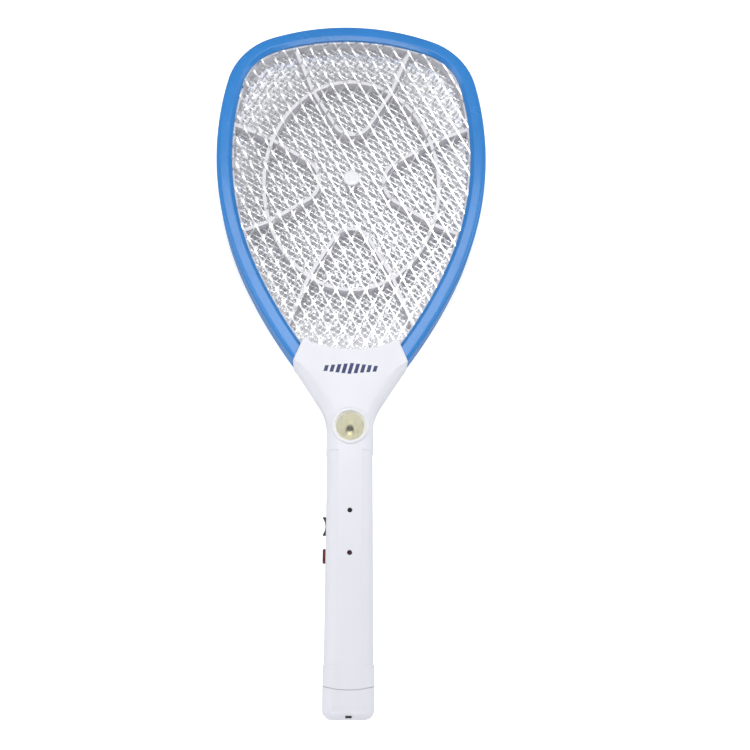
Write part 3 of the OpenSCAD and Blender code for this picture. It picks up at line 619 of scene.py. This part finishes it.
GUARD = dict(dx=10.2 * MM, dy=18.8 * MM, strand=1.05 * MM, thickness=0.5 * MM, turn=0.0,
             samples=6, tilt=0.25, wave=0.12 * MM)
for node, height in (("front_guard_mesh", GUARD_Z[0]), ("back_guard_mesh", GUARD_Z[1])):
    add_piece("sheet_" + node, expanded_sheet(node, height=height, **GUARD), ROOT, [node],
              GUARD_METAL)
add_piece("sheet_centre_mesh",
          expanded_sheet("centre", 6.15 * MM, 4.44 * MM, 0.52 * MM, 0.4 * MM, MID_Z,
                         math.radians(5), 4, 0.2, 0.05 * MM),
          ROOT, ["hv_mesh"], FINE_METAL)

# ---- Centre rivet ----
for node, side in (("centre_rivet", 1), ("centre_rivet_cap", -1)):
    seat = MID_Z + side * GUARD_TOP
    head = [(0, 0), (5.9, 0), (5.9, 0.7), (5.8, 0.95), (5.55, 1.2), (5.0, 1.38), (4.2, 1.46),
            (3.0, 1.5), (1.6, 1.5), (0, 1.5)]
    profile = [(r * MM, seat + side * h * MM) for r, h in head]
    if side == 1:
        foot = MID_Z - GUARD_TOP - 0.5 * MM
        profile = [(0, foot), (2.1 * MM, foot), (2.1 * MM, seat)] + profile[1:]
    button = add_piece("button_" + node, lathed("rivet", profile, RIVET), ROOT, [node],
                       RIVET_WHITE)
    shade(button, 50)

# ---- Torch ----
TORCH_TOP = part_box("torch_bezel")[1].z
bezel_ring = [(9.9, -6.4), (12.2, -6.4), (12.2, -1.0), (12.12, -0.62), (11.9, -0.3), (11.6, -0.1),
              (11.2, 0), (10.8, -0.06), (10.45, -0.25), (10.2, -0.55), (10.05, -0.95), (9.95, -1.5)]
bezel_profile = [(r * MM, TORCH_TOP + h * MM) for r, h in bezel_ring]
bezel = add_piece("torch_rim", lathed("bezel", bezel_profile, TORCH), ROOT, ["torch_bezel"],
                  RIVET_WHITE)
shade(bezel, 50)

lens_low, lens_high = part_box("torch_lens")
LENS_R = lens_high.x - TORCH.x
DOME_ANGLE, DOME_RISE = 1.2, 0.75 * MM
dome = [(LENS_R * math.sin(a), lens_high.z - DOME_RISE * (1 - math.cos(a)) / (1 - math.cos(DOME_ANGLE)))
        for a in (DOME_ANGLE * k / 12 for k in range(13))]
scale = LENS_R / dome[-1][0]
lens_foot = lens_low.z + 0.3 * MM
lens_profile = [(r * scale, z) for r, z in dome] + [(LENS_R, lens_foot), (0, lens_foot)]
lens = add_piece("torch_window", lathed("lens", lens_profile, TORCH, 128), ROOT, ["torch_lens"],
                 LENS)
shade(lens, 50)

cup_low, cup_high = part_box("torch_reflector")


def cup(t, outset):
    """The reflector's wall: a parabola that opens towards the lens."""
    return (2.8 + 6.7 * math.sqrt(t)) * MM + outset, cup_low.z + (cup_high.z - cup_low.z) * t


cup_profile = [cup(k / 24, 0) for k in range(25)] + [cup(k / 24, 0.4 * MM) for k in range(24, -1, -1)]
reflector = add_piece("torch_cup", lathed("cup", cup_profile, TORCH, 128), ROOT, ["torch_reflector"],
                      MIRROR)
shade(reflector, 60)

LED_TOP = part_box("torch_led")[1].z
LED_BASE = LED_TOP - 7 * MM
BULB_R, COLLAR_R = 2.4 * MM, 2.7 * MM
bulb = [(0, LED_BASE), (COLLAR_R, LED_BASE), (COLLAR_R, LED_BASE + 0.9 * MM), (BULB_R, LED_BASE + 1.0 * MM)]
bulb += [(BULB_R * math.cos(a), LED_TOP - BULB_R + BULB_R * math.sin(a))
         for a in (math.radians(11.25 * k) for k in range(9))]
bulb_piece = add_piece("torch_bulb", lathed("bulb", bulb, TORCH, 64), ROOT, ["torch_led"],
                       RESIN)
shade(bulb_piece, 50)

# ---- Switches on the left edge ----
from_node("rocker", ROCKER, BLACK, 0.35 * MM, 3, 30)
from_node("push_button", BUTTON, RED, 0.25 * MM, 3, 30)
for node, material, name in (
        ("rocker_switch_body", SWITCH, "switch_black"), ("button_switch", SWITCH, "switch_black"),
        ("plug_base", INNER_WHITE, "inner_white"), ("circuit_board", BOARD, "board"),
        ("transformer_core", FERRITE, "ferrite"), ("battery", BATTERY, "battery_case"),
        ("charge_capacitor", EPOXY, "component")):
    from_node(node, ROOT, material, 0.2 * MM, 2, 40)
from_node("plug_pins", ROOT, BRASS, 0.2 * MM, 2, 40)

# ---- What stays as the CAD made it, with its material ----
CAD_FINISH = {
    "centre_spacers": NET_WHITE, "mesh_contacts": BRASS, "frame_screws": STEEL, "housing_screws": STEEL,
    "rocker_pin": STEEL, "button_spring": STEEL, "power_led": DARK_RESIN, "charge_led": RED_RESIN,
    "transformer_winding": COPPER, "hv_capacitor": EPOXY, "diodes": SWITCH, "resistors": EPOXY,
    "transistor": SWITCH, "battery_terminals": BRASS, "battery_leads": WIRE["red"],
    "charge_leads": WIRE["black"], "torch_leads": WIRE["white"], "hv_lead": WIRE["black"],
    "guard_leads": WIRE["green"]}
for node, material in CAD_FINISH.items():
    for place in nodes[node].material_slots:
        place.material = material

# ---- Generic printed mark on the neck: slanted bars of no meaning ----
MARK_Y, MARK_HALF, MARK_H = -18.5 * MM, 18.5 * MM, 7.5 * MM
mark_top = MID_Z + HALF_HANDLE + 0.03 * MM
mark_points, mark_faces = [], []
BARS = 9
for k in range(BARS):
    x = -MARK_HALF + 2 * MARK_HALF * (k + 0.5) / BARS
    tall = MARK_H / 2 * (1.0 - 0.45 * abs(2 * k / (BARS - 1) - 1))
    lean, half = 0.28 * tall, 1.25 * MM
    corners = [(x - half - lean, MARK_Y - tall), (x + half - lean, MARK_Y - tall),
               (x + half + lean, MARK_Y + tall), (x - half + lean, MARK_Y + tall)]
    bar_points, bar_faces = prism(corners, mark_top - 0.08 * MM, mark_top)
    mark_faces += [tuple(i + len(mark_points) for i in f) for f in bar_faces]
    mark_points += bar_points
mark = add_piece("printed_mark", mesh_from("mark", mark_points, mark_faces), ROOT, (), PRINT)

# ---- Painted shade in the end cap's slot: a dark block sunk in the slot stands for the shade inside it ----
shade_block_points, shade_block_faces = prism(
    rectangle(-1.9 * MM, END_Y + 1.08 * MM, 1.9 * MM, END_Y + 2.42 * MM),
    MID_Z + 7.1 * MM, MID_Z + HALF_HANDLE - 1.3 * MM)
shade_block = add_piece("slot_shade_block", mesh_from("shade_block", shade_block_points, shade_block_faces), CAP, (),
                   PAINTED_SLOT_SHADE)
soften(shade_block, 0.2 * MM)

# ---- Floor and light ----
floor_points, floor_faces = [], []
FLOOR_STEPS, FLOOR_SIZE, FLOOR_Z = 24, 3.0, -0.0002
for j in range(FLOOR_STEPS + 1):
    for i in range(FLOOR_STEPS + 1):
        floor_points.append(((i / FLOOR_STEPS - 0.5) * 2 * FLOOR_SIZE,
                             (j / FLOOR_STEPS - 0.5) * 2 * FLOOR_SIZE, FLOOR_Z))
for j in range(FLOOR_STEPS):
    for i in range(FLOOR_STEPS):
        a = j * (FLOOR_STEPS + 1) + i
        floor_faces.append((a, a + 1, a + FLOOR_STEPS + 2, a + FLOOR_STEPS + 1))
floor = bpy.data.objects.new("floor", mesh_from("floor", floor_points, floor_faces))
bpy.context.scene.collection.objects.link(floor)
floor_material, tree, shader = new_material("floor", (0.86, 0.86, 0.87), 0.9)
tint(tree, shader, (0.86, 0.86, 0.87), (0.84, 0.84, 0.85), noise_of(tree, 3, 2))
shader.inputs["Emission Color"].default_value = (1, 1, 1, 1)
# The floor glows evenly to stay white. The glow fades to none in an oval under the three sheets, as painted
# shade under the head. The scale brings the oval's half width and half height to one, with its lower end
# near the origin.
SHADE_OVAL_SCALE = (11.0, 8.4, 1)
GLOW = 0.65
place = tree.nodes.new("ShaderNodeTexCoord")
mapping = tree.nodes.new("ShaderNodeMapping")
mapping.inputs["Scale"].default_value = SHADE_OVAL_SCALE
mapping.inputs["Location"].default_value = (0, -1.0, 0)
tree.links.new(place.outputs["Object"], mapping.inputs["Vector"])
spread = tree.nodes.new("ShaderNodeVectorMath")
spread.operation = "LENGTH"
tree.links.new(mapping.outputs["Vector"], spread.inputs[0])
# Painted shade under the head: no glow inside the oval, full glow outside it.
shade_oval_fade = tree.nodes.new("ShaderNodeMapRange")
shade_oval_fade.inputs["From Min"].default_value = 0.8
shade_oval_fade.inputs["From Max"].default_value = 1.1
shade_oval_fade.inputs["To Min"].default_value = 0.0
shade_oval_fade.inputs["To Max"].default_value = GLOW
tree.links.new(spread.outputs["Value"], shade_oval_fade.inputs["Value"])
tree.links.new(shade_oval_fade.outputs["Result"], shader.inputs["Emission Strength"])
floor.visible_glossy = False
floor.data.materials.append(floor_material)


def area_light(name, place, aim_at, size, watts):
    light = bpy.data.lights.new(name, "AREA")
    light.shape = "RECTANGLE"
    light.size, light.size_y = size
    light.energy = watts
    lamp = bpy.data.objects.new(name, light)
    bpy.context.scene.collection.objects.link(lamp)
    lamp.location = place
    lamp.rotation_euler = (Vector(aim_at) - Vector(place)).to_track_quat("-Z", "Y").to_euler()


area_light("key", (0.0, 0.25, 0.75), (0, 0, 0), (0.5, 0.4), 2.3)
area_light("fill_left", (-1.2, 0.1, 0.9), (0, 0.05, 0), (0.7, 1.2), 4.0)
area_light("fill_right", (1.2, 0.3, 0.9), (0, 0.05, 0), (0.7, 1.2), 3.7)
area_light("low", (0.0, -0.9, 0.8), (0, 0.1, 0), (1.0, 0.3), 3.4)
world = bpy.data.worlds.new("studio")
bpy.context.scene.world = world
world.use_nodes = True
world.node_tree.nodes["Background"].inputs["Color"].default_value = (0.93, 0.95, 1.0, 1)
world.node_tree.nodes["Background"].inputs["Strength"].default_value = 0.41
bpy.context.scene.view_settings.view_transform = "Standard"
